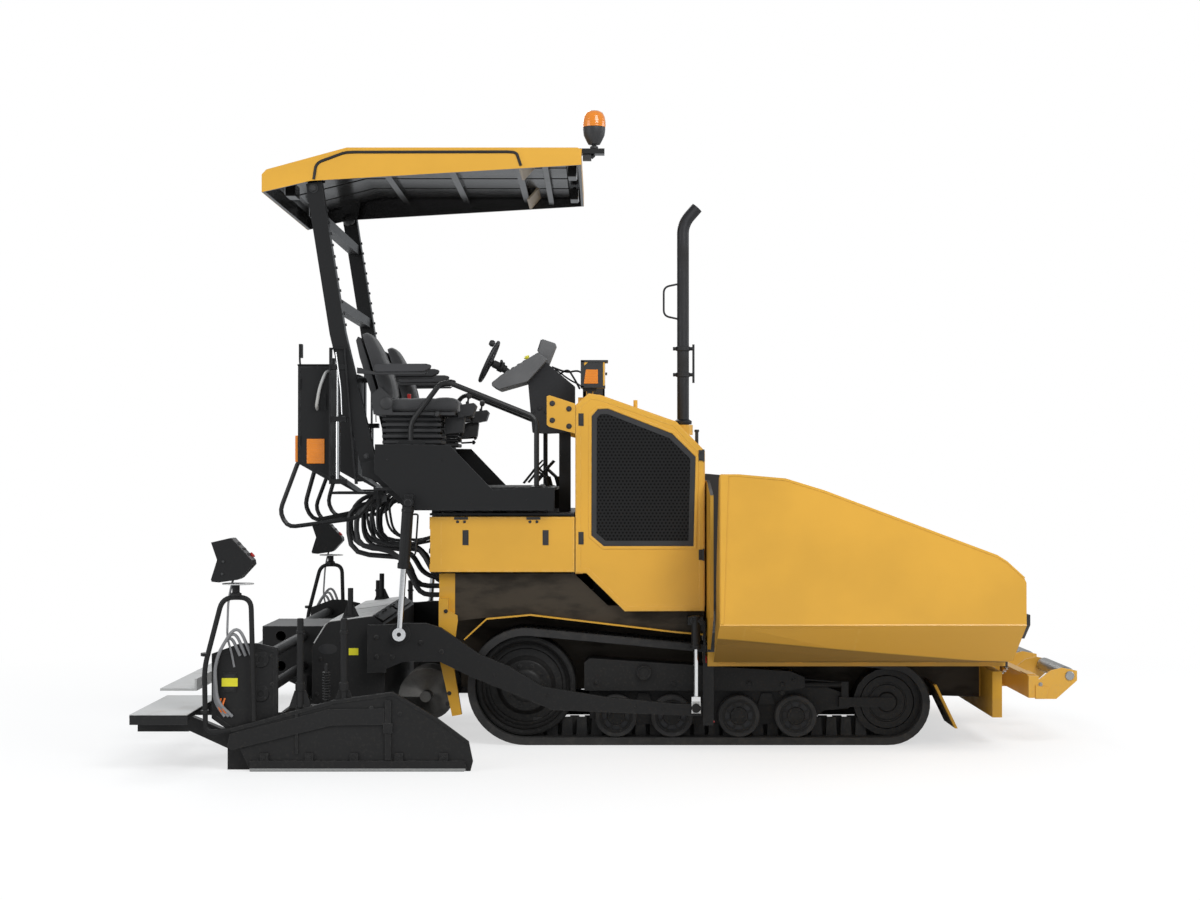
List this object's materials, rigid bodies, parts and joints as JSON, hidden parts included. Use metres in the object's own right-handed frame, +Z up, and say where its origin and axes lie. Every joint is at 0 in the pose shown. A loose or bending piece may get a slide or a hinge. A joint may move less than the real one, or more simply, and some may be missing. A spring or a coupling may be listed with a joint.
{
  "type": "tracked asphalt paver",
  "caption": "Small tracked asphalt paver with open hopper, operator seats under a folding canopy and an extended screed with side walkways, yellow and charcoal.",
  "frame": {"origin": "On the ground under the centre of the machine's bounding box.", "axes": "+X forward towards the push rollers, +Y to the machine's left, +Z up."},
  "size_m": [5.26, 3.74, 3.661],
  "materials": {
    "yellow_paint": "semi-gloss",
    "charcoal_paint": "satin",
    "black_paint": "satin",
    "rubber": "matte",
    "worn_steel": "brushed",
    "chrome": "polished",
    "grey_tread": "matte",
    "black_plastic": "matte",
    "seat_fabric": "woven",
    "amber_lens": "gloss"
  },
  "bodies": {
    "root": {"track_belt_L": "rubber", "track_belt_R": "rubber", "drive_wheel_L": "black_paint", "drive_wheel_R": "black_paint", "track_frame_L": "black_paint", "track_frame_R": "black_paint", "main_frame": "yellow_paint", "conveyor": "worn_steel", "engine_block": "charcoal_paint", "hopper_base": "charcoal_paint", "hopper_apron": "rubber", "hood": "yellow_paint", "exhaust_stack": "black_paint", "operator_deck": "charcoal_paint", "handrail_L": "charcoal_paint", "handrail_R": "charcoal_paint", "seat_frame_L": "black_plastic", "seat_frame_R": "black_plastic", "seat_pad_L": "seat_fabric", "seat_pad_R": "seat_fabric", "console": "black_plastic", "rear_cabinet_L": "charcoal_paint", "rear_cabinet_R": "charcoal_paint", "tow_cylinder_L": "charcoal_paint", "tow_cylinder_R": "charcoal_paint", "hydraulic_hoses_L": "rubber", "hydraulic_hoses_R": "rubber"},
    "wing_left": {"hopper_wing_L": "yellow_paint"},
    "wing_right": {"hopper_wing_R": "yellow_paint"},
    "door_left": {"engine_door_L": "yellow_paint"},
    "door_right": {"engine_door_R": "yellow_paint"},
    "flap_left": {"side_flap_L": "yellow_paint"},
    "flap_right": {"side_flap_R": "yellow_paint"},
    "posts": {"canopy_posts": "charcoal_paint"},
    "roof": {"canopy_roof": "yellow_paint", "beacon": "amber_lens"},
    "steering": {"steering_wheel": "black_plastic"},
    "truck_pusher": {"push_beam": "yellow_paint"},
    "roller_left": {"push_roller_L": "worn_steel"},
    "roller_right": {"push_roller_R": "worn_steel"},
    "auger_left": {"auger_L": "worn_steel"},
    "auger_right": {"auger_R": "worn_steel"},
    "tow_points": {"tow_rod_L": "chrome", "tow_rod_R": "chrome"},
    "screed": {"tow_arm_L": "charcoal_paint", "tow_arm_R": "charcoal_paint", "screed_body": "charcoal_paint", "walkway_main": "grey_tread"},
    "extension_left": {"extension_L": "charcoal_paint", "endgate_L": "charcoal_paint"},
    "extension_right": {"extension_R": "charcoal_paint", "endgate_R": "charcoal_paint"},
    "lift_barrel_left": {"lift_cylinder_L": "charcoal_paint"},
    "lift_barrel_right": {"lift_cylinder_R": "charcoal_paint"},
    "lift_piston_left": {"lift_rod_L": "chrome"},
    "lift_piston_right": {"lift_rod_R": "chrome"}
  },
  "joints": [
    {"name": "hopper_wing_left_fold", "type": "hinge", "parent": "root", "child": "wing_left", "pos_m": [1.361, 0.9746, 0.5], "axis": [1, 0, 0], "range_deg": [0, 60]},
    {"name": "hopper_wing_right_fold", "type": "hinge", "parent": "root", "child": "wing_right", "pos_m": [1.361, -0.9746, 0.5], "axis": [-1, 0, 0], "range_deg": [0, 60]},
    {"name": "engine_door_left_swing", "type": "hinge", "parent": "root", "child": "door_left", "pos_m": [0.49, 0.877, 1.4], "axis": [0, 0, -1], "range_deg": [0, 85]},
    {"name": "engine_door_right_swing", "type": "hinge", "parent": "root", "child": "door_right", "pos_m": [0.49, -0.877, 1.4], "axis": [0, 0, 1], "range_deg": [0, 85]},
    {"name": "side_flap_left_lift", "type": "hinge", "parent": "root", "child": "flap_left", "pos_m": [-0.672, 0.8775, 1.315], "axis": [1, 0, 0], "range_deg": [0, 80]},
    {"name": "side_flap_right_lift", "type": "hinge", "parent": "root", "child": "flap_right", "pos_m": [-0.672, -0.8775, 1.315], "axis": [-1, 0, 0], "range_deg": [0, 80]},
    {"name": "canopy_fold", "type": "hinge", "parent": "root", "child": "posts", "pos_m": [-1.432, 0, 1.592], "axis": [0, -1, 0], "range_deg": [0, 45]},
    {"name": "canopy_level", "type": "hinge", "parent": "posts", "child": "roof", "pos_m": [-1.762, 0, 3.225], "axis": [0, -1, 0], "range_deg": [-45, 0]},
    {"name": "steering_wheel_turn", "type": "hinge", "parent": "root", "child": "steering", "pos_m": [-0.776, -0.35, 2.233], "axis": [0.9016, 0, -0.4325], "continuous": true},
    {"name": "push_beam_swing", "type": "hinge", "parent": "root", "child": "truck_pusher", "pos_m": [2.29, 0, 0.335], "axis": [0, 0, 1], "range_deg": [-6, 6]},
    {"name": "push_roller_left_spin", "type": "hinge", "parent": "truck_pusher", "child": "roller_left", "pos_m": [2.587, 0.512, 0.4], "axis": [0, 1, 0], "continuous": true},
    {"name": "push_roller_right_spin", "type": "hinge", "parent": "truck_pusher", "child": "roller_right", "pos_m": [2.587, -0.512, 0.4], "axis": [0, 1, 0], "continuous": true},
    {"name": "auger_left_spin", "type": "hinge", "parent": "root", "child": "auger_left", "pos_m": [-1.12, 0.4, 0.27], "axis": [0, 1, 0], "continuous": true},
    {"name": "auger_right_spin", "type": "hinge", "parent": "root", "child": "auger_right", "pos_m": [-1.12, -0.4, 0.27], "axis": [0, 1, 0], "continuous": true},
    {"name": "tow_point_height", "type": "slide", "parent": "root", "child": "tow_points", "axis": [0, 0, 1], "range_m": [0, 0.1]},
    {"name": "screed_lift", "type": "hinge", "parent": "tow_points", "child": "screed", "pos_m": [0.435, 0, 0.225], "axis": [0, 1, 0], "range_deg": [0, 5.5]},
    {"name": "extension_left_slide", "type": "slide", "parent": "screed", "child": "extension_left", "axis": [0, -1, 0], "range_m": [0, 0.78]},
    {"name": "extension_right_slide", "type": "slide", "parent": "screed", "child": "extension_right", "axis": [0, 1, 0], "range_m": [0, 0.78]},
    {"name": "lift_barrel_left_pivot", "type": "hinge", "parent": "root", "child": "lift_barrel_left", "pos_m": [-1.197, 1.006, 1.395], "axis": [0, -1, 0], "range_deg": [0, 3.8]},
    {"name": "lift_piston_left_stroke", "type": "slide", "parent": "lift_barrel_left", "child": "lift_piston_left", "axis": [0.067, 0, 0.9978], "range_m": [0, 0.165]},
    {"name": "lift_barrel_right_pivot", "type": "hinge", "parent": "root", "child": "lift_barrel_right", "pos_m": [-1.197, -1.006, 1.395], "axis": [0, -1, 0], "range_deg": [0, 3.8]},
    {"name": "lift_piston_right_stroke", "type": "slide", "parent": "lift_barrel_right", "child": "lift_piston_right", "axis": [0.067, 0, 0.9978], "range_m": [0, 0.165]}
  ],
  "couplings": [
    {"joint": "canopy_level", "follows": "canopy_fold", "ratio": -1},
    {"joint": "lift_barrel_left_pivot", "follows": "screed_lift", "ratio": 0.671},
    {"joint": "lift_piston_left_stroke", "follows": "screed_lift", "m_per_rad": 1.677},
    {"joint": "lift_barrel_right_pivot", "follows": "screed_lift", "ratio": 0.671},
    {"joint": "lift_piston_right_stroke", "follows": "screed_lift", "m_per_rad": 1.677}
  ]
}
